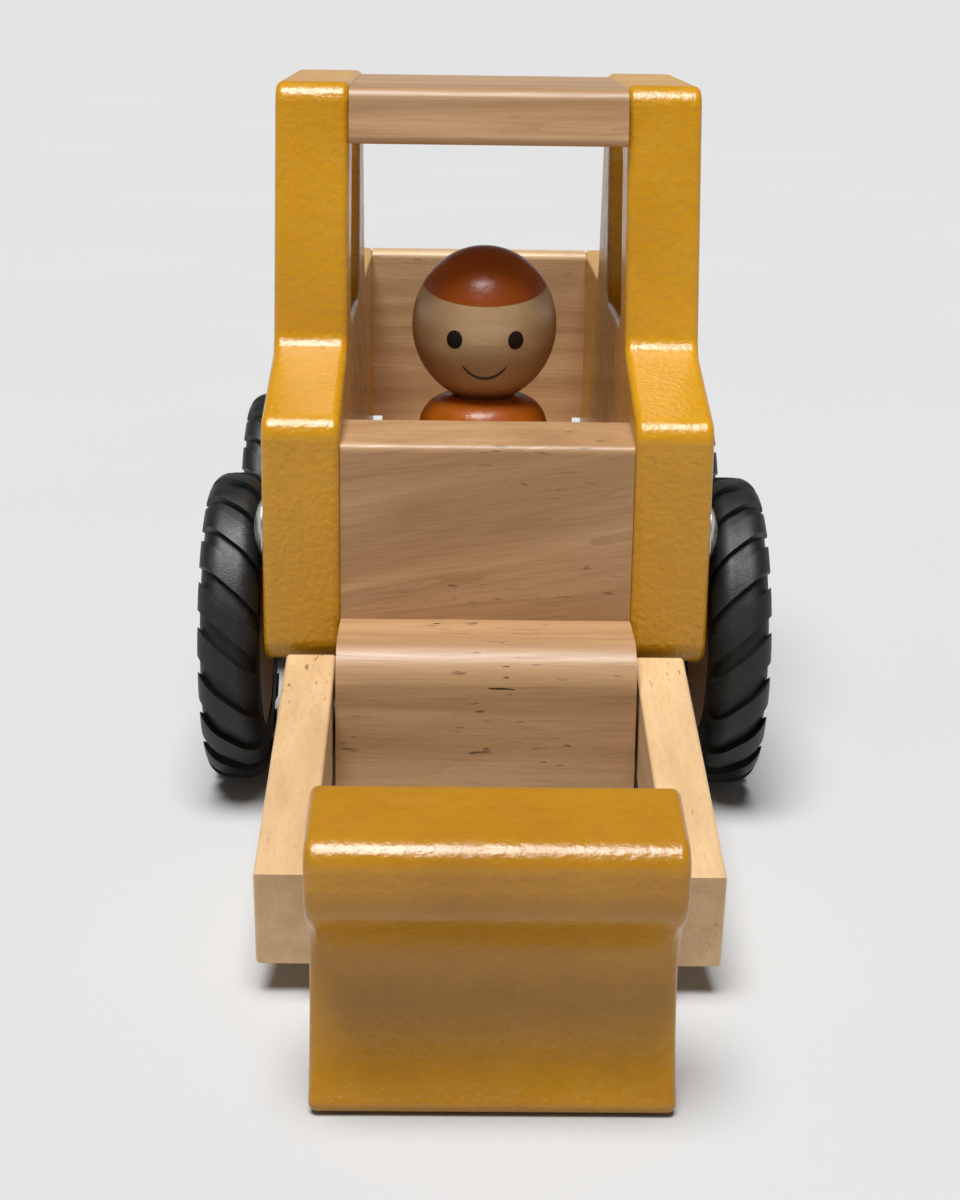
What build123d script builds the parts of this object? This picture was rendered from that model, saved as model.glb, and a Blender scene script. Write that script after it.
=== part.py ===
# Wooden toy loader: two thick painted side panels glued to a natural wood chassis, four ribbed tyres,
# a peg driver in the open cab and a curved front blade on two lifting arms.
# Frame: X across the toy, -Y towards the blade, +Z up, ground at Z = 0, millimetres.
import os
from build123d import *

# Overall stations along Y
front_y = -30.0  # front face of the side panels
rear_y = 161.0
nose_y = -51.5
blade_front_y = -161.0

# Chassis and panels
chassis_half_w = 30.0
chassis_z0 = 14.0
chassis_z1 = 44.6
panel_t = 16.0
panel_z0 = 35.0
hood_z = 86.0
deck_z = 99.0
cab_top_z = 150.6
panel_corner_r = 5.0
axle_notch_r = 3.6
panel_edge_r = 1.6

# Running gear
axle_z = 33.8
front_axle_y = 1.6
rear_axle_y = 96.0
axle_r = 2.5
dome_r = 11.73
dome_angle = 33.07
hub_bore_r = 2.56
tyre_r = 33.8
tyre_in_x = 47.2
tyre_out_x = 60.0
tyre_seat_r = 22.0
lug_count = 20
lug_w = 6.0
lug_h = 1.5
lug_slope = 0.85

# Lifting arms and blade
pivot_y = -41.5
pivot_z = 28.5
pivot_r = 3.0
arm_bore_r = 3.06
arm_in_x = 30.6
arm_out_x = 40.8
blade_half_w = 29.0
blade_back_y = -138.0
tongue_half_w = 26.0

# Driver
driver_y = 40.0
driver_r = 15.0
seat_z = 34.2
head_z = 95.7

dowel_r = 3.0

os.makedirs("parts", exist_ok=True)

# Chassis: one long block with a rounded nose, a round seat for the driver and cross bores
with BuildPart() as chassis:
    with BuildSketch(Plane.YZ.offset(-chassis_half_w)):
        with BuildLine():
            Polyline(
                (nose_y, chassis_z0),
                (rear_y, chassis_z0),
                (rear_y, chassis_z1),
                (nose_y + 2.0, chassis_z1),
                close=True,
            )
        make_face()
    extrude(amount=2 * chassis_half_w)
    nose_edge = chassis.edges().filter_by(Axis.X).group_by(Axis.Z)[-1].sort_by(Axis.Y)[0]
    fillet(nose_edge, 8.0)
    long_edges = chassis.edges().filter_by(Axis.Y)
    fillet(long_edges.group_by(Axis.Z)[0], 1.5)
    with Locations((0, driver_y, chassis_z1)):
        Hole(driver_r + 0.3, depth=chassis_z1 - seat_z)
    with BuildSketch(Plane.YZ.offset(-chassis_half_w)):
        with Locations((front_axle_y, axle_z), (rear_axle_y, axle_z)):
            Circle(axle_r)
        with Locations((pivot_y, pivot_z)):
            Circle(pivot_r)
    extrude(amount=2 * chassis_half_w, mode=Mode.SUBTRACT)
chassis.part.label = "chassis"
export_step(chassis.part, "parts/chassis.step")

# Right side panel: hood, window frame and rear deck sawn from one thick board
with BuildPart() as right_side_panel:
    with BuildSketch(Plane.YZ.offset(chassis_half_w)):
        with BuildLine():
            FilletPolyline(
                (front_y, panel_z0),
                (front_y, hood_z),
                (6.0, 95.6),
                (17.8, cab_top_z),
                (88.0, cab_top_z),
                (99.0, deck_z),
                (rear_y, deck_z),
                (rear_y, panel_z0),
                radius=panel_corner_r,
                close=True,
            )
        make_face()
        with Locations((front_axle_y, axle_z), (rear_axle_y, axle_z)):
            Circle(axle_notch_r, mode=Mode.SUBTRACT)
        with BuildLine():
            FilletPolyline((20.5, 98.0), (65.5, 98.0), (73.0, 137.5), (30.0, 137.5), radius=6.0, close=True)
        make_face(mode=Mode.SUBTRACT)
    extrude(amount=panel_t)
    inner_rim = right_side_panel.faces().sort_by(Axis.X)[0].edges()
    outer_rim = right_side_panel.faces().sort_by(Axis.X)[-1].edges()
    fillet(inner_rim + outer_rim, panel_edge_r)
    with BuildSketch(Plane.YZ.offset(chassis_half_w)):
        with Locations((front_y + 9.0, 62.0)):
            Circle(axle_r)
    extrude(amount=panel_t, mode=Mode.SUBTRACT)
right_side_panel.part.label = "right_side_panel"
export_step(right_side_panel.part, "parts/right_side_panel.step")

with BuildPart() as left_side_panel:
    mirror(right_side_panel.part, about=Plane.YZ)
left_side_panel.part.label = "left_side_panel"
export_step(left_side_panel.part, "parts/left_side_panel.step")

# Front board between the panels, its top sloping with the hood
with BuildPart() as front_board:
    with BuildSketch(Plane.YZ.offset(-chassis_half_w)):
        with BuildLine():
            Polyline((-29.0, chassis_z1), (-12.0, chassis_z1), (-12.0, 83.7), (-29.0, 81.3), close=True)
        make_face()
    extrude(amount=2 * chassis_half_w)
    top_edges = front_board.edges().filter_by(Axis.X).group_by(Axis.Z)
    fillet(top_edges[-1] + top_edges[-2], 1.8)
    with BuildSketch(Plane.YZ.offset(-chassis_half_w)):
        with Locations((front_y + 9.0, 62.0)):
            Circle(axle_r)
    extrude(amount=2 * chassis_half_w, mode=Mode.SUBTRACT)
front_board.part.label = "front_board"
export_step(front_board.part, "parts/front_board.step")

# Roof board, leaning with the front pillars
with BuildPart() as roof_board:
    with BuildSketch(Plane.YZ.offset(-chassis_half_w)):
        with BuildLine():
            Polyline((12.6, 138.0), (87.0, 138.0), (84.4, 149.8), (15.2, 149.8), close=True)
        make_face()
    extrude(amount=2 * chassis_half_w)
    fillet(roof_board.edges().filter_by(Axis.X).group_by(Axis.Z)[-1], 3.0)
    fillet(roof_board.edges().filter_by(Axis.X).group_by(Axis.Z)[0], 1.5)
roof_board.part.label = "roof_board"
export_step(roof_board.part, "parts/roof_board.step")

# Rear board with small notches at its bottom corners
with BuildPart() as rear_board:
    with Locations((0, 156.0, (chassis_z1 + 98.6) / 2)):
        Box(2 * chassis_half_w, 10.0, 98.6 - chassis_z1)
    fillet(rear_board.edges().filter_by(Axis.X).group_by(Axis.Z)[-1], 1.8)
    with Locations((28.6, 156.0, chassis_z1 + 3.6), (-28.6, 156.0, chassis_z1 + 3.6)):
        Box(2.8, 10.0, 7.2, mode=Mode.SUBTRACT)
rear_board.part.label = "rear_board"
export_step(rear_board.part, "parts/rear_board.step")

# Tie rod through the front board, with a domed steel cap on each panel
with BuildPart() as tie_rod:
    with BuildSketch(Plane.YZ.offset(-46.0)):
        with Locations((front_y + 9.0, 62.0)):
            Circle(axle_r)
    extrude(amount=92.0)
tie_rod.part.label = "tie_rod"
export_step(tie_rod.part, "parts/tie_rod.step")

with BuildPart() as tie_cap:
    with BuildSketch(Plane.XY):
        with BuildLine():
            dome = CenterArc((48.3 - dome_r, 0), dome_r, 0, dome_angle)
            Polyline(dome @ 1, (46.0, 6.4), (46.0, 0), dome @ 0)
        make_face()
    revolve(axis=Axis.X)

with BuildPart() as tie_rod_caps:
    with Locations((0, front_y + 9.0, 62.0)):
        add(tie_cap.part)
    mirror(about=Plane.YZ)
tie_rod_caps.part.label = "tie_rod_caps"
export_step(tie_rod_caps.part, "parts/tie_rod_caps.step")

# Axles, with domed caps that keep the wheels on
for axle_name, axle_y in (("front_axle", front_axle_y), ("rear_axle", rear_axle_y)):
    with BuildPart() as axle:
        with BuildSketch(Plane.YZ.offset(-57.4)):
            with Locations((axle_y, axle_z)):
                Circle(axle_r)
        extrude(amount=114.8)
    axle.part.label = axle_name
    export_step(axle.part, "parts/" + axle_name + ".step")

with BuildPart() as axle_cap:
    with BuildSketch(Plane.XY):
        with BuildLine():
            dome = CenterArc((59.7 - dome_r, 0), dome_r, 0, dome_angle)
            Polyline(dome @ 1, (57.4, 6.4), (57.4, 0), dome @ 0)
        make_face()
    revolve(axis=Axis.X)

with BuildPart() as axle_caps:
    with Locations((0, front_axle_y, axle_z), (0, rear_axle_y, axle_z)):
        add(axle_cap.part)
    mirror(about=Plane.YZ)
axle_caps.part.label = "axle_caps"
export_step(axle_caps.part, "parts/axle_caps.step")

# Wheel hub: turned wooden disc with a short inner boss
with BuildPart() as hub:
    with BuildSketch(Plane.XY):
        with BuildLine():
            Polyline(
                (46.5, hub_bore_r),
                (46.5, 7.5),
                (48.0, 7.5),
                (48.0, tyre_seat_r),
                (57.6, tyre_seat_r),
                (58.4, 20.8),
                (58.4, 18.5),
                (57.0, 16.5),
                (57.0, hub_bore_r),
                close=True,
            )
        make_face()
    revolve(axis=Axis.X)

# Tyre: rounded ring with slanted lugs that stand proud of it
lug_planes = []
for i in range(lug_count):
    lug_planes.append(Plane.XY.rotated((360.0 / lug_count * i, 0, 0)).offset(tyre_r - lug_h - 3.0))
tyre_mid_x = (tyre_in_x + tyre_out_x) / 2
lug_reach = 8.0
with BuildPart() as tyre:
    with BuildSketch(*lug_planes):
        with BuildLine():
            Polyline(
                (tyre_mid_x - lug_reach, -lug_slope * lug_reach - lug_w / 2),
                (tyre_mid_x + lug_reach, lug_slope * lug_reach - lug_w / 2),
                (tyre_mid_x + lug_reach, lug_slope * lug_reach + lug_w / 2),
                (tyre_mid_x - lug_reach, -lug_slope * lug_reach + lug_w / 2),
                close=True,
            )
        make_face()
    extrude(amount=8.0)
    with BuildSketch(Plane.XY):
        with BuildLine():
            FilletPolyline(
                (tyre_in_x, 24.0),
                (tyre_in_x, tyre_r),
                (tyre_out_x, tyre_r),
                (tyre_out_x, 24.0),
                radius=4.6,
            )
            Line((tyre_out_x, 24.0), (tyre_in_x, 24.0))
        make_face()
    revolve(axis=Axis.X, mode=Mode.INTERSECT)
    with BuildSketch(Plane.XY):
        with BuildLine():
            FilletPolyline(
                (tyre_in_x + 0.4, tyre_seat_r),
                (tyre_in_x + 0.4, tyre_r - lug_h),
                (tyre_out_x - 0.4, tyre_r - lug_h),
                (tyre_out_x - 0.4, tyre_seat_r),
                radius=4.4,
            )
            Line((tyre_out_x - 0.4, tyre_seat_r), (tyre_in_x + 0.4, tyre_seat_r))
        make_face()
    revolve(axis=Axis.X)

for end_name, end_y in (("front", front_axle_y), ("rear", rear_axle_y)):
    with BuildPart() as right_hub:
        with Locations((0, end_y, axle_z)):
            add(hub.part)
    right_hub.part.label = end_name + "_right_hub"
    export_step(right_hub.part, "parts/" + end_name + "_right_hub.step")
    with BuildPart() as left_hub:
        mirror(right_hub.part, about=Plane.YZ)
    left_hub.part.label = end_name + "_left_hub"
    export_step(left_hub.part, "parts/" + end_name + "_left_hub.step")
    with BuildPart() as right_tyre:
        with Locations((0, end_y, axle_z)):
            add(tyre.part)
    right_tyre.part.label = end_name + "_right_tyre"
    export_step(right_tyre.part, "parts/" + end_name + "_right_tyre.step")
    with BuildPart() as left_tyre:
        mirror(right_tyre.part, about=Plane.YZ)
    left_tyre.part.label = end_name + "_left_tyre"
    export_step(left_tyre.part, "parts/" + end_name + "_left_tyre.step")

# Right arm: straight bar that turns on the pivot rod and holds the crossbar
with BuildPart() as right_arm:
    with BuildSketch(Plane.YZ.offset(arm_in_x)):
        with BuildLine():
            Polyline((-34.0, 39.0), (-115.0, 24.3), (-111.7, 6.1), (-30.7, 20.8), close=True)
        make_face()
    extrude(amount=arm_out_x - arm_in_x)
    rear_top_edge = right_arm.edges().filter_by(Axis.X).sort_by(Axis.Z)[-1]
    fillet(rear_top_edge, 2.0)
    fillet(right_arm.edges().filter_by(Axis.X, reverse=True), 0.8)
    with BuildSketch(Plane.YZ.offset(arm_in_x)):
        with Locations((pivot_y, pivot_z)):
            Circle(arm_bore_r)
        with Locations((-109.0, 16.4), (-94.0, 19.1)):
            Circle(dowel_r)
    extrude(amount=arm_out_x - arm_in_x, mode=Mode.SUBTRACT)
right_arm.part.label = "right_arm"
export_step(right_arm.part, "parts/right_arm.step")

with BuildPart() as left_arm:
    mirror(right_arm.part, about=Plane.YZ)
left_arm.part.label = "left_arm"
export_step(left_arm.part, "parts/left_arm.step")

with BuildPart() as arm_pivot_rod:
    with BuildSketch(Plane.YZ.offset(-arm_out_x)):
        with Locations((pivot_y, pivot_z)):
            Circle(pivot_r)
    extrude(amount=2 * arm_out_x)
arm_pivot_rod.part.label = "arm_pivot_rod"
export_step(arm_pivot_rod.part, "parts/arm_pivot_rod.step")

# Crossbar between the arms, carrying the blade on its front face
with BuildPart() as crossbar:
    with BuildSketch(Plane.YZ.offset(-arm_in_x)):
        with BuildLine():
            Polyline((-88.0, 27.2), (blade_back_y, 18.1), (blade_back_y, 4.6), (-88.0, 13.7), close=True)
        make_face()
    extrude(amount=2 * arm_in_x)
    with Locations((tongue_half_w + 5.0, -127.0, 14.0), (-tongue_half_w - 5.0, -127.0, 14.0)):
        Box(10.0, 24.0, 40.0, mode=Mode.SUBTRACT)
    with BuildSketch(Plane.YZ.offset(-arm_in_x)):
        with Locations((-109.0, 16.4), (-94.0, 19.1)):
            Circle(dowel_r)
    extrude(amount=12.0, mode=Mode.SUBTRACT)
    with BuildSketch(Plane.YZ.offset(arm_in_x)):
        with Locations((-109.0, 16.4), (-94.0, 19.1)):
            Circle(dowel_r)
    extrude(amount=-12.0, mode=Mode.SUBTRACT)
    with BuildSketch(Plane.XZ.offset(-blade_back_y)):
        with Locations((-17.0, 11.6), (17.0, 11.6)):
            Circle(dowel_r)
    extrude(amount=-14.0, mode=Mode.SUBTRACT)
crossbar.part.label = "crossbar"
export_step(crossbar.part, "parts/crossbar.step")

# Blade: thick board with a flat back, rounded top lip and hollow front
with BuildPart() as blade:
    with BuildSketch(Plane.YZ.offset(-blade_half_w)) as blade_profile:
        with BuildLine():
            back = FilletPolyline(
                (blade_back_y, 0.5),
                (blade_back_y, 51.8),
                (blade_front_y, 48.2),
                (blade_front_y, 41.5),
                radius=4.8,
            )
            brow = JernArc(back @ 1, (0, -1), 9.0, 60.35)
            hollow = JernArc(brow @ 1, brow % 1, 15.74, -60.35)
            toe = JernArc(hollow @ 1, (0, -1), 30.66, -39.5)
            Line(toe @ 1, (blade_back_y, 0.5))
        make_face()
        fillet(blade_profile.vertices().sort_by(Axis.Y)[:2], 1.5)
    extrude(amount=2 * blade_half_w)
    side_rims = blade.faces().sort_by(Axis.X)[0].edges() + blade.faces().sort_by(Axis.X)[-1].edges()
    fillet(side_rims, 1.5)
    with BuildSketch(Plane.XZ.offset(-blade_back_y)):
        with Locations((-17.0, 11.6), (17.0, 11.6)):
            Circle(dowel_r)
    extrude(amount=6.0, mode=Mode.SUBTRACT)
blade.part.label = "blade"
export_step(blade.part, "parts/blade.step")

# Wooden dowels: two per arm into the crossbar, and two from the crossbar into the blade
with BuildPart() as arm_dowels:
    with BuildSketch(Plane.YZ.offset(arm_in_x - 12.0)):
        with Locations((-109.0, 16.4), (-94.0, 19.1)):
            Circle(dowel_r)
    extrude(amount=arm_out_x - arm_in_x + 12.0)
    mirror(about=Plane.YZ)
arm_dowels.part.label = "arm_dowels"
export_step(arm_dowels.part, "parts/arm_dowels.step")

with BuildPart() as blade_dowels:
    with BuildSketch(Plane.XZ.offset(-blade_back_y - 14.0)):
        with Locations((-17.0, 11.6), (17.0, 11.6)):
            Circle(dowel_r)
    extrude(amount=20.0)
blade_dowels.part.label = "blade_dowels"
export_step(blade_dowels.part, "parts/blade_dowels.step")

# Driver: turned body with sloping shoulders, round head on a neck dowel
with BuildPart() as driver_body:
    with BuildSketch(Plane.XZ):
        with BuildLine():
            Polyline((dowel_r, 64.0), (0, 64.0), (0, seat_z), (driver_r - 0.8, seat_z), (driver_r, seat_z + 0.8))
            Line((driver_r, seat_z + 0.8), (driver_r, 71.0))
            ThreePointArc((driver_r, 71.0), (14.1, 75.2), (11.2, 78.2))
            Polyline((11.2, 78.2), (9.0, 79.2), (dowel_r, 79.2), (dowel_r, 64.0))
        make_face()
    revolve(axis=Axis.Z)

with BuildPart() as driver_head:
    with BuildSketch(Plane.XZ):
        with Locations((0, head_z)):
            Ellipse(16.7, 17.9)
        with Locations((-50.0, head_z)):
            Rectangle(100.0, 100.0, mode=Mode.SUBTRACT)
        with Locations((0, 69.2)):
            Rectangle(60.0, 20.0, mode=Mode.SUBTRACT)
        with Locations((0, 84.6)):
            Rectangle(2 * dowel_r, 10.8, mode=Mode.SUBTRACT)
    revolve(axis=Axis.Z)

with BuildPart() as neck_dowel:
    with BuildSketch(Plane.XY.offset(64.0)):
        Circle(dowel_r)
    extrude(amount=26.0)

with BuildPart() as seated_body:
    with Locations((0, driver_y, 0)):
        add(driver_body.part)
seated_body.part.label = "driver_body"
export_step(seated_body.part, "parts/driver_body.step")

with BuildPart() as seated_head:
    with Locations((0, driver_y, 0)):
        add(driver_head.part)
seated_head.part.label = "driver_head"
export_step(seated_head.part, "parts/driver_head.step")

with BuildPart() as seated_dowel:
    with Locations((0, driver_y, 0)):
        add(neck_dowel.part)
seated_dowel.part.label = "neck_dowel"
export_step(seated_dowel.part, "parts/neck_dowel.step")
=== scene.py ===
import math

import bpy
from mathutils import Matrix, Vector


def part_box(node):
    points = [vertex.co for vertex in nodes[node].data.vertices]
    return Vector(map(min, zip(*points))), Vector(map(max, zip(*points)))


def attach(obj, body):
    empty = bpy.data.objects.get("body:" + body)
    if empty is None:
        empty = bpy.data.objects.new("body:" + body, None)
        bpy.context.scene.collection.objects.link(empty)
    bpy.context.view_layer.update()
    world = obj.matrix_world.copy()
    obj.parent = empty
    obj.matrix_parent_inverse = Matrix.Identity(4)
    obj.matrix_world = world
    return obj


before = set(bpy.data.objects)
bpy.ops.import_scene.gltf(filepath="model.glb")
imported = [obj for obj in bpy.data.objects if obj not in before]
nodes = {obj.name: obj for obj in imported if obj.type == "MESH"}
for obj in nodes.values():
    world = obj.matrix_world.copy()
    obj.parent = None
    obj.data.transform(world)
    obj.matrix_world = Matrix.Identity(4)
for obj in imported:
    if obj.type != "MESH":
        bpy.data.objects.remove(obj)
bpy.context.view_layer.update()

# The driver's head is an ellipsoid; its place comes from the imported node.
head_lo, head_hi = (Vector(corner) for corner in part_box("driver_head"))
HEAD_RADIUS = (head_hi.x - head_lo.x) / 2
HEAD_HALF_HEIGHT = 0.0179
HEAD_CENTRE = Vector(((head_lo.x + head_hi.x) / 2, (head_lo.y + head_hi.y) / 2, head_hi.z - HEAD_HALF_HEIGHT))
PAINT_THICKNESS = 0.00006

# Paint and wood colours, linear
YELLOW = (0.60, 0.292, 0.004)
YELLOW_DEEP = (0.50, 0.228, 0.003)
# The next two colours are the panels' yellow made darker for the blade: painted shade.
SHADED_YELLOW = (0.44, 0.205, 0.007)
SHADED_YELLOW_DEEP = (0.35, 0.150, 0.005)
ORANGE = (0.46, 0.092, 0.006)
ORANGE_BODY = (0.74, 0.200, 0.009)
INK = (0.006, 0.005, 0.004)


class Net:
    """A small helper that adds linked nodes to one material."""

    def __init__(self, name):
        self.material = bpy.data.materials.new(name)
        self.material.use_nodes = True
        self.tree = self.material.node_tree
        self.shader = self.tree.nodes["Principled BSDF"]
        coords = self.tree.nodes.new("ShaderNodeTexCoord")
        self.place = coords.outputs["Object"]

    def add(self, kind, inputs=None, **settings):
        node = self.tree.nodes.new(kind)
        for key, value in settings.items():
            setattr(node, key, value)
        for key, value in (inputs or {}).items():
            self.feed(node.inputs[key], value)
        return node

    def feed(self, socket, value):
        if isinstance(value, bpy.types.NodeSocket):
            self.tree.links.new(value, socket)
        else:
            socket.default_value = value

    def stretched(self, scale, offset=(0, 0, 0), tilt=0.0):
        turned = self.add("ShaderNodeMapping", {"Vector": self.place, "Rotation": (0.0, math.radians(tilt), 0.0)})
        node = self.add("ShaderNodeMapping", {"Vector": turned.outputs["Vector"], "Scale": scale, "Location": offset})
        return node.outputs["Vector"]

    def noise(self, vector, scale, detail=4.0, rough=0.55, warp=0.0):
        inputs = {"Vector": vector, "Scale": scale, "Detail": detail, "Roughness": rough, "Distortion": warp}
        return self.add("ShaderNodeTexNoise", inputs).outputs["Fac"]

    def ramp(self, value, stops):
        node = self.add("ShaderNodeValToRGB", {"Fac": value})
        elements = node.color_ramp.elements
        while len(elements) < len(stops):
            elements.new(0.5)
        for element, (position, colour) in zip(elements, stops):
            element.position = position
            element.color = (*colour, 1.0)
        return node.outputs["Color"]

    def grey(self, value, low, high, first=0.0, last=1.0):
        node = self.add("ShaderNodeMapRange", {"Value": value, "From Min": low, "From Max": high})
        node.inputs["To Min"].default_value = first
        node.inputs["To Max"].default_value = last
        return node.outputs["Result"]

    def mix(self, factor, a, b, how="MIX"):
        node = self.add("ShaderNodeMix", data_type="RGBA", blend_type=how)
        self.feed(node.inputs["Factor"], factor)
        for index, value in ((6, a), (7, b)):
            self.feed(node.inputs[index], value if isinstance(value, bpy.types.NodeSocket) else (*value, 1.0))
        return node.outputs[2]

    def math(self, how, a, b):
        node = self.add("ShaderNodeMath", operation=how)
        self.feed(node.inputs[0], a)
        self.feed(node.inputs[1], b)
        return node.outputs["Value"]

    def bump(self, height, strength, distance, under=None):
        inputs = {"Height": height, "Strength": strength, "Distance": distance}
        if under is not None:
            inputs["Normal"] = under
        return self.add("ShaderNodeBump", inputs).outputs["Normal"]

    def finish(self, **sockets):
        for key, value in sockets.items():
            self.feed(self.shader.inputs[key.replace("_", " ")], value)
        return self.material


def grain_scale(axis, across, along):
    return tuple(along if i == axis else across for i in range(3))


def gloss_paint(name, colour, deep, grain_axis, peel=1.0):
    """Sprayed gloss paint on wood: orange peel, soft mottling and a little grain telegraphing through."""
    net = Net(name)
    cloud = net.noise(net.place, 26.0, 5.0, 0.6)
    fibre = net.noise(net.stretched(grain_scale(grain_axis, 420.0, 16.0)), 1.0, 4.0, 0.6)
    tone = net.mix(net.grey(cloud, 0.3, 0.7), deep, colour)
    tone = net.mix(net.grey(fibre, 0.52, 0.75, 0.0, 0.22), tone, deep)
    mottle = net.noise(net.place, 420.0, 3.0, 0.6)
    tone = net.mix(net.grey(mottle, 0.45, 0.75, 0.0, 0.30), tone, tuple(0.86 * c for c in deep))
    ripple = net.noise(net.place, 760.0, 2.0, 0.45)
    dimple = net.noise(net.place, 2100.0, 1.0, 0.4)
    normal = net.bump(fibre, 0.16, 0.0004)
    normal = net.bump(ripple, 0.34 * peel, 0.0006, normal)
    normal = net.bump(dimple, 0.10 * peel, 0.0004, normal)
    gloss = net.grey(net.noise(net.place, 140.0, 3.0), 0.3, 0.7, 0.24, 0.38)
    return net.finish(
        Base_Color=tone, Roughness=gloss, Normal=normal, Coat_Weight=0.15, Coat_Roughness=0.18
    )


def raw_wood(name, light, mid, dark, axis, flecks=0.5, band=0.6, offset=(0, 0, 0), gloss=0.42, tilt=0.0):
    """Clear-lacquered wood: growth bands, fibres, pores and short dark flecks along one axis."""
    net = Net(name)
    soft = net.stretched(grain_scale(axis, 62.0, 7.0), offset, tilt)
    bands = net.noise(soft, 1.0, 3.0, 0.45, 0.8)
    rings = net.math("FRACT", net.math("MULTIPLY", bands, 5.0), 0.0)
    ring_line = net.grey(rings, 0.55, 1.0)
    fibre = net.noise(net.stretched(grain_scale(axis, 1500.0, 60.0), offset, tilt / 2), 1.0, 4.0, 0.62)
    streak = net.noise(net.stretched(grain_scale(axis, 230.0, 12.0), offset, tilt), 1.0, 3.0, 0.5)
    tone = net.mix(net.grey(streak, 0.32, 0.68), mid, light)
    tone = net.mix(net.math("MULTIPLY", ring_line, band), tone, mid)
    tone = net.mix(net.grey(bands, 0.56, 0.70, 0.0, band * 0.7), tone, dark)
    tone = net.mix(net.grey(fibre, 0.50, 0.80, 0.0, 0.34), tone, dark)
    dash = net.noise(net.stretched(grain_scale(axis, 1150.0, 210.0), offset), 1.0, 1.0, 0.4)
    patch = net.noise(net.place, 42.0, 2.0, 0.5)
    fleck = net.math("MULTIPLY", net.grey(dash, 0.67, 0.73), net.grey(patch, 0.50, 0.62, 0.0, flecks))
    tone = net.mix(fleck, tone, tuple(0.22 * c for c in dark))
    normal = net.bump(fibre, 0.22, 0.0003)
    normal = net.bump(net.noise(net.place, 700.0, 2.0), 0.10, 0.0003, normal)
    shine = net.grey(fibre, 0.3, 0.7, gloss - 0.06, gloss + 0.10)
    return net.finish(Base_Color=tone, Roughness=shine, Normal=normal, Coat_Weight=0.12, Coat_Roughness=0.25)


def end_wood(name, light, mid, dark, centre):
    """Turned wood for the hubs, with rings around the axle and lathe marks."""
    net = Net(name)
    split = net.add("ShaderNodeSeparateXYZ", {"Vector": net.place})
    dy = net.math("SUBTRACT", split.outputs["Y"], centre[0])
    dz = net.math("SUBTRACT", split.outputs["Z"], centre[1])
    radius = net.math("SQRT", net.math("ADD", net.math("MULTIPLY", dy, dy), net.math("MULTIPLY", dz, dz)), 0.0)
    wobble = net.noise(net.place, 55.0, 3.0)
    turns = net.math("FRACT", net.math("ADD", net.math("MULTIPLY", radius, 420.0), wobble), 0.0)
    across = net.noise(net.stretched((40.0, 900.0, 60.0)), 1.0, 3.0)
    tone = net.mix(net.grey(across, 0.35, 0.65), mid, light)
    tone = net.mix(net.grey(wobble, 0.5, 0.7, 0.0, 0.5), tone, dark)
    normal = net.bump(turns, 0.12, 0.0002)
    return net.finish(Base_Color=tone, Roughness=net.grey(across, 0.3, 0.7, 0.38, 0.5), Normal=normal)


def tyre_rubber():
    net = Net("tyre rubber")
    dust = net.noise(net.place, 160.0, 6.0, 0.65)
    fine = net.noise(net.place, 2600.0, 2.0, 0.5)
    tone = net.ramp(dust, [(0.38, (0.0045, 0.0055, 0.0055)), (0.62, (0.008, 0.0095, 0.0095)), (0.78, (0.020, 0.022, 0.022))])
    normal = net.bump(fine, 0.30, 0.0002)
    normal = net.bump(dust, 0.12, 0.0006, normal)
    return net.finish(Base_Color=tone, Roughness=net.grey(dust, 0.3, 0.75, 0.40, 0.62), Normal=normal)


def steel():
    net = Net("domed steel")
    wear = net.noise(net.place, 500.0, 4.0, 0.6)
    scratch = net.noise(net.stretched((2400.0, 90.0, 2400.0)), 1.0, 3.0)
    tone = net.ramp(wear, [(0.3, (0.50, 0.49, 0.46)), (0.7, (0.68, 0.67, 0.64))])
    normal = net.bump(scratch, 0.15, 0.0001)
    return net.finish(Base_Color=tone, Metallic=1.0, Roughness=net.grey(wear, 0.3, 0.7, 0.22, 0.40), Normal=normal)


def ink():
    net = Net("printed ink")
    grain = net.noise(net.place, 1500.0, 2.0)
    tone = net.ramp(grain, [(0.3, INK), (0.8, (0.014, 0.011, 0.009))])
    return net.finish(Base_Color=tone, Roughness=0.35, Normal=net.bump(grain, 0.1, 0.0001))


def dress(names, material):
    for name in names:
        mesh = nodes[name].data
        mesh.materials.clear()
        mesh.materials.append(material)


def on_head(x, z):
    """Point on the front of the head, lifted by the paint's thickness."""
    a = HEAD_RADIUS + PAINT_THICKNESS
    c = HEAD_HALF_HEIGHT + PAINT_THICKNESS
    y = a * math.sqrt(max(0.0, 1.0 - (x / a) ** 2 - (z / c) ** 2))
    return HEAD_CENTRE + Vector((x, -y, z))


def piece(name, verts, faces, material, body):
    mesh = bpy.data.meshes.new(name)
    mesh.from_pydata([tuple(v) for v in verts], [], faces)
    mesh.update()
    mesh.materials.append(material)
    mesh.shade_smooth()
    obj = bpy.data.objects.new(name, mesh)
    bpy.context.scene.collection.objects.link(obj)
    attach(obj, body)
    return obj


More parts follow.
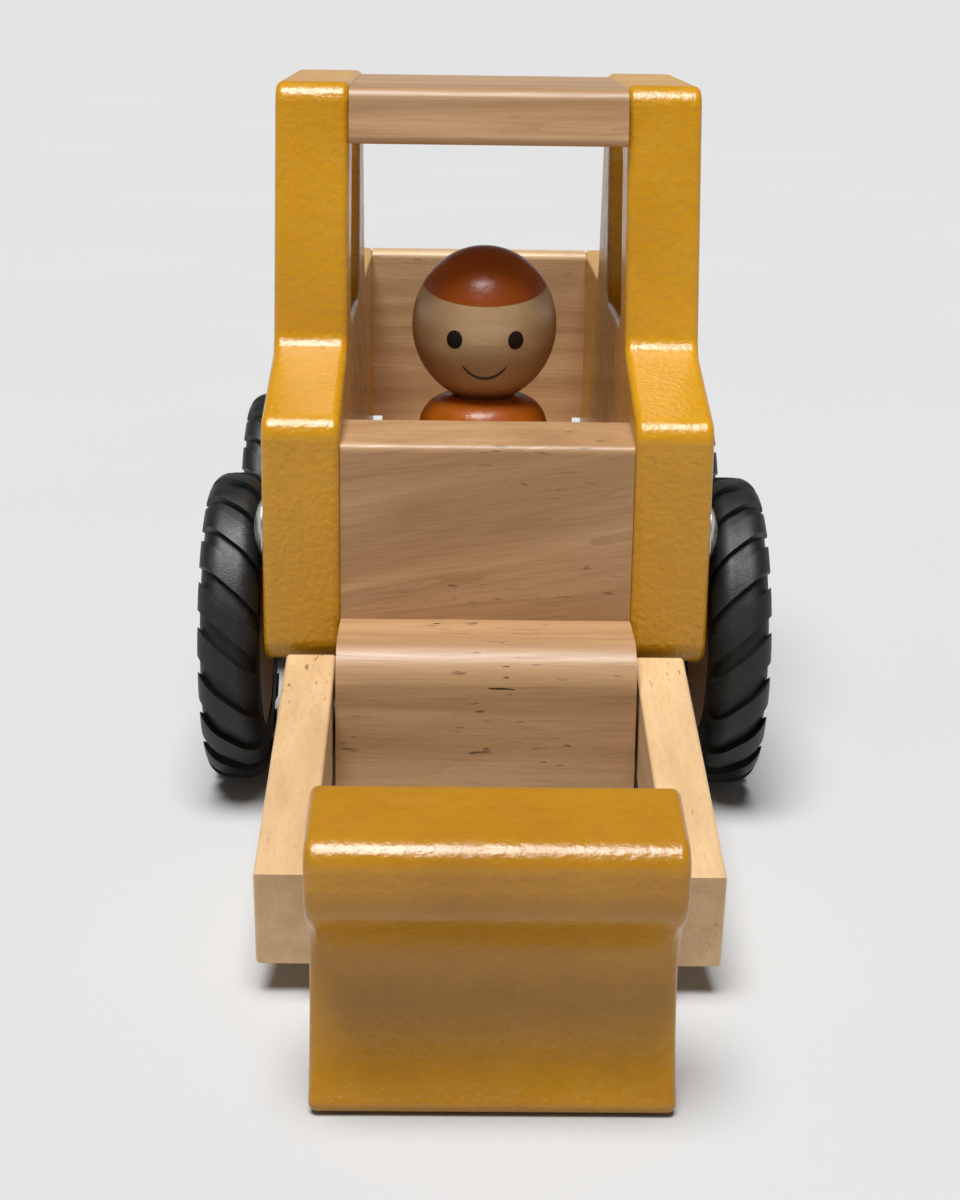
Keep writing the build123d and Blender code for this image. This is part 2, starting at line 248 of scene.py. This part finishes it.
def painted_cap(material):
    """Thin coat of paint over the crown of the head, dipping lower at the front."""
    around, up = 96, 20
    a, c = HEAD_RADIUS + PAINT_THICKNESS, HEAD_HALF_HEIGHT + PAINT_THICKNESS
    verts, faces = [], []
    for i in range(around):
        turn = 2 * math.pi * i / around
        facing = max(0.0, math.cos(turn))
        edge = 0.0097 - 0.0036 * facing ** 1.3
        first = math.asin(edge / c)
        for j in range(up):
            tilt = first + (math.pi / 2 - first) * j / up
            ring = a * math.cos(tilt)
            verts.append(HEAD_CENTRE + Vector((ring * math.sin(turn), -ring * math.cos(turn), c * math.sin(tilt))))
    top = len(verts)
    verts.append(HEAD_CENTRE + Vector((0, 0, c)))
    for i in range(around):
        k = (i + 1) % around
        for j in range(up - 1):
            faces.append((i * up + j, k * up + j, k * up + j + 1, i * up + j + 1))
        faces.append((i * up + up - 1, k * up + up - 1, top))
    return piece("head_paint", verts, faces, material, "driver")


def eye(name, x, z, half_w, half_h, material):
    steps, rings = 40, 4
    verts, faces = [on_head(x, z)], []
    for r in range(1, rings + 1):
        for s in range(steps):
            t = 2 * math.pi * s / steps
            verts.append(on_head(x + half_w * r / rings * math.cos(t), z + half_h * r / rings * math.sin(t)))
    for s in range(steps):
        n = (s + 1) % steps
        faces.append((0, 1 + s, 1 + n))
        for r in range(rings - 1):
            a, b = 1 + r * steps, 1 + (r + 1) * steps
            faces.append((a + s, b + s, b + n, a + n))
    return piece(name, verts, faces, material, "driver")


def smile(half_w, z_ends, sag, thick, material):
    steps = 36
    verts, faces = [], []
    for s in range(steps + 1):
        u = 2.0 * s / steps - 1.0
        x = half_w * u
        z = z_ends - sag * (1 - abs(u) ** 2.2)
        half = 0.5 * thick * (0.45 + 0.55 * math.sqrt(max(0.0, 1 - u * u)))
        verts.append(on_head(x, z - half))
        verts.append(on_head(x, z))
        verts.append(on_head(x, z + half))
    for s in range(steps):
        for j in range(2):
            a = 3 * s + j
            faces.append((a, a + 3, a + 4, a + 1))
    return piece("smile", verts, faces, material, "driver")


# Materials on the CAD pieces
yellow_wood = gloss_paint("yellow gloss paint", YELLOW, YELLOW_DEEP, 1)
# The blade gets the panels' yellow made darker, as painted shade.
shaded_yellow_wood = gloss_paint("yellow gloss paint darkened as painted shade", SHADED_YELLOW, SHADED_YELLOW_DEEP, 0, 0.8)
orange_wood = gloss_paint("orange body paint", ORANGE_BODY, ORANGE, 2, 0.5)
cap_paint = gloss_paint("orange cap paint", ORANGE, tuple(0.8 * c for c in ORANGE), 2, 0.4)
PINK_LIGHT, PINK_MID, PINK_DARK = (0.50, 0.300, 0.150), (0.37, 0.205, 0.090), (0.19, 0.088, 0.032)
PALE_LIGHT, PALE_MID, PALE_DARK = (0.70, 0.480, 0.255), (0.59, 0.380, 0.190), (0.32, 0.175, 0.075)
roof_wood = raw_wood("roof wood", PINK_LIGHT, PINK_MID, PINK_DARK, 0, 0.2, 0.55, (0.3, 0.1, 0.0))
front_wood = raw_wood("front board wood", PINK_LIGHT, PINK_MID, PINK_DARK, 0, 0.5, 0.9, (0.0, 0.2, 0.4), tilt=14.0)
nose_wood = raw_wood("chassis wood", PINK_LIGHT, PINK_MID, PINK_DARK, 0, 1.0, 0.35, (0.7, 0.0, 0.2))
rear_wood = raw_wood("rear board wood", PALE_LIGHT, PINK_LIGHT, PINK_MID, 0, 0.3, 0.5, (0.1, 0.6, 0.0))
arm_wood = raw_wood("arm wood", PALE_LIGHT, PALE_MID, PALE_DARK, 1, 0.7, 0.3, (0.2, 0.0, 0.5))
head_wood = raw_wood("head wood", PALE_LIGHT, PALE_MID, PALE_DARK, 0, 0.1, 0.35, (0.4, 0.0, 0.1), 0.36)
dress(["left_side_panel", "right_side_panel"], yellow_wood)
dress(["blade"], shaded_yellow_wood)
dress(["driver_body"], orange_wood)
dress(["roof_board"], roof_wood)
dress(["front_board"], front_wood)
dress(["chassis"], nose_wood)
dress(["rear_board"], rear_wood)
dress(["left_arm", "right_arm", "crossbar"], arm_wood)
dress(["driver_head", "neck_dowel"], head_wood)
dress(["arm_dowels", "blade_dowels", "arm_pivot_rod"], roof_wood)
dress(["tie_rod", "tie_rod_caps", "front_axle", "rear_axle", "axle_caps"], steel())
rubber = tyre_rubber()
for end in ("front", "rear"):
    axle_lo, axle_hi = (Vector(corner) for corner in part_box(end + "_axle"))
    centre = ((axle_lo.y + axle_hi.y) / 2, (axle_lo.z + axle_hi.z) / 2)
    hub_wood = end_wood(end + " hub wood", PALE_LIGHT, PALE_MID, PALE_DARK, centre)
    dress([end + "_left_hub", end + "_right_hub"], hub_wood)
    dress([end + "_left_tyre", end + "_right_tyre"], rubber)

# The driver's paint
print_ink = ink()
painted_cap(cap_paint)
eye("left_eye", -0.0069, -0.0014, 0.00175, 0.0021, print_ink)
eye("right_eye", 0.0069, -0.0014, 0.00175, 0.0021, print_ink)
smile(0.0050, -0.0076, 0.0029, 0.0008, print_ink)


def floor():
    size = 60.0
    mesh = bpy.data.meshes.new("floor")
    corners = [(-size, -size, 0), (size, -size, 0), (size, size, 0), (-size, size, 0)]
    mesh.from_pydata(corners, [], [(0, 1, 2, 3)])
    net = Net("pale floor")
    shade = net.noise(net.place, 3.0, 2.0)
    mesh.materials.append(net.finish(Base_Color=net.ramp(shade, [(0.3, (0.535, 0.535, 0.535)), (0.7, (0.55, 0.55, 0.55))])))
    net.shader.inputs["Roughness"].default_value = 0.9
    net.shader.inputs["Specular IOR Level"].default_value = 0.1
    obj = bpy.data.objects.new("floor", mesh)
    bpy.context.scene.collection.objects.link(obj)


def lights():
    sun = bpy.data.lights.new("ceiling", "SUN")
    sun.energy = 4.4
    sun.angle = math.radians(32)
    holder = bpy.data.objects.new("ceiling", sun)
    holder.rotation_euler = (math.radians(14), math.radians(-4), 0)
    bpy.context.scene.collection.objects.link(holder)
    world = bpy.data.worlds.new("studio")
    world.use_nodes = True
    tree = world.node_tree
    sky = tree.nodes["Background"]
    coords = tree.nodes.new("ShaderNodeTexCoord")
    split = tree.nodes.new("ShaderNodeSeparateXYZ")
    fade = tree.nodes.new("ShaderNodeValToRGB")
    tree.links.new(coords.outputs["Generated"], split.inputs["Vector"])
    tree.links.new(split.outputs["Z"], fade.inputs["Fac"])
    tree.links.new(fade.outputs["Color"], sky.inputs["Color"])
    stops = fade.color_ramp.elements
    stops[0].position, stops[0].color = 0.10, (0.66, 0.66, 0.66, 1.0)
    stops[1].position, stops[1].color = 0.34, (0.07, 0.07, 0.07, 1.0)
    bpy.context.scene.world = world


def camera():
    """Camera in front of the blade, a little above the roof, looking down at about sixteen degrees."""
    cos_yaw, sin_yaw = math.cos(math.radians(-0.867)), math.sin(math.radians(-0.867))
    cos_dip, sin_dip = math.cos(math.radians(16.052)), math.sin(math.radians(16.052))
    cos_roll, sin_roll = math.cos(math.radians(0.793)), math.sin(math.radians(0.793))
    forward = Vector((-sin_yaw * cos_dip, cos_yaw * cos_dip, -sin_dip))
    level = Vector((cos_yaw, sin_yaw, 0.0))
    down = Vector((sin_yaw * sin_dip, -cos_yaw * sin_dip, -cos_dip))
    right = cos_roll * level - sin_roll * down
    up = -(sin_roll * level + cos_roll * down)
    data = bpy.data.cameras.new("camera")
    data.sensor_fit = "VERTICAL"
    data.sensor_height = 24.0
    data.lens = 43.006
    obj = bpy.data.objects.new("camera", data)
    turn = Matrix((right, up, -forward)).transposed().to_4x4()
    obj.matrix_world = Matrix.Translation((-0.00763, -0.4564, 0.17185)) @ turn
    bpy.context.scene.collection.objects.link(obj)
    bpy.context.scene.camera = obj


floor()
lights()
camera()
bpy.context.scene.view_settings.view_transform = "Standard"
